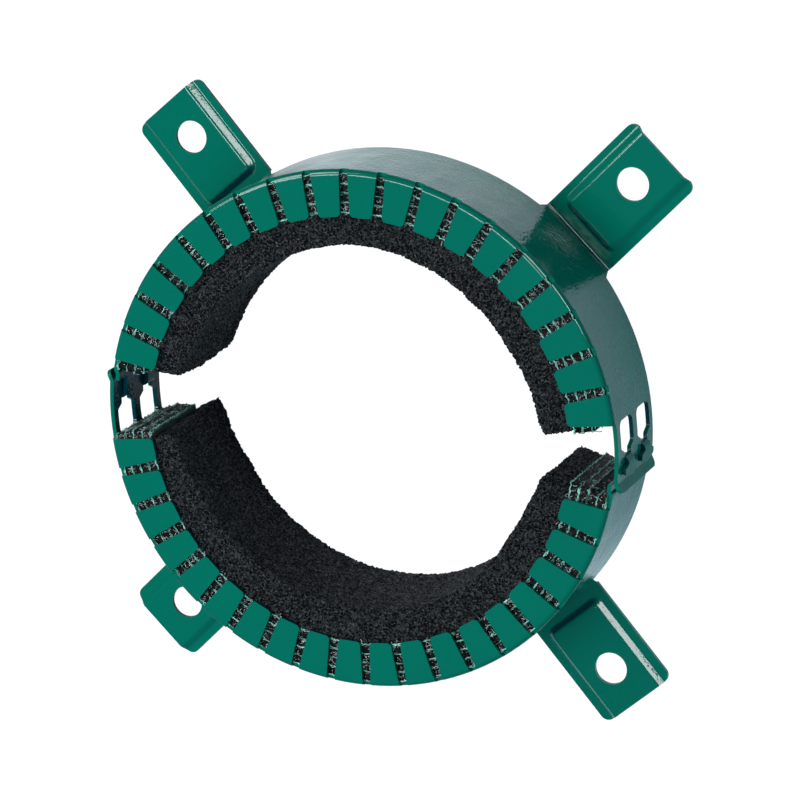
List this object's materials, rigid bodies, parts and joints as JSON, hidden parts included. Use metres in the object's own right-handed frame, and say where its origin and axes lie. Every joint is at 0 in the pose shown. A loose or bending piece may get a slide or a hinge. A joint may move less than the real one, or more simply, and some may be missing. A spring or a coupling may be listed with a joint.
{
  "type": "pipe fire collar",
  "caption": "Fire collar for a plastic pipe: two hooked half rings of painted sheet with folded teeth and fixing lugs round swelling strips and a foam liner.",
  "frame": {"origin": "on the pipe's axis, in the wall plane that the lugs lie on", "axes": "+Z along the pipe, away from the wall and towards the teeth. The two halves meet on the X axis"},
  "size_m": [0.1744, 0.1836, 0.0388],
  "materials": {
    "painted_sheet": "gloss dark green powder coat with a light orange peel",
    "swelling_strip": "matt black graphite filled strip with pale flecks at its cut edge",
    "scrim": "pale mint glass scrim with loose threads at its ends",
    "foam": "black open-cell foam"
  },
  "bodies": {
    "root": {"upper_half_shell": "painted_sheet", "upper_scrim_facing_1": "scrim", "upper_swelling_strip_1": "swelling_strip", "upper_scrim_facing_2": "scrim", "upper_swelling_strip_2": "swelling_strip", "upper_scrim_facing_3": "scrim", "upper_swelling_strip_3": "swelling_strip", "upper_scrim_facing_4": "scrim", "upper_swelling_strip_4": "swelling_strip", "upper_scrim_facing_5": "scrim", "upper_foam_pad": "foam", "lower_half_shell": "painted_sheet", "lower_scrim_facing_1": "scrim", "lower_swelling_strip_1": "swelling_strip", "lower_scrim_facing_2": "scrim", "lower_swelling_strip_2": "swelling_strip", "lower_scrim_facing_3": "scrim", "lower_swelling_strip_3": "swelling_strip", "lower_scrim_facing_4": "scrim", "lower_swelling_strip_4": "swelling_strip", "lower_scrim_facing_5": "scrim", "lower_foam_pad": "foam"}
  },
  "joints": []
}
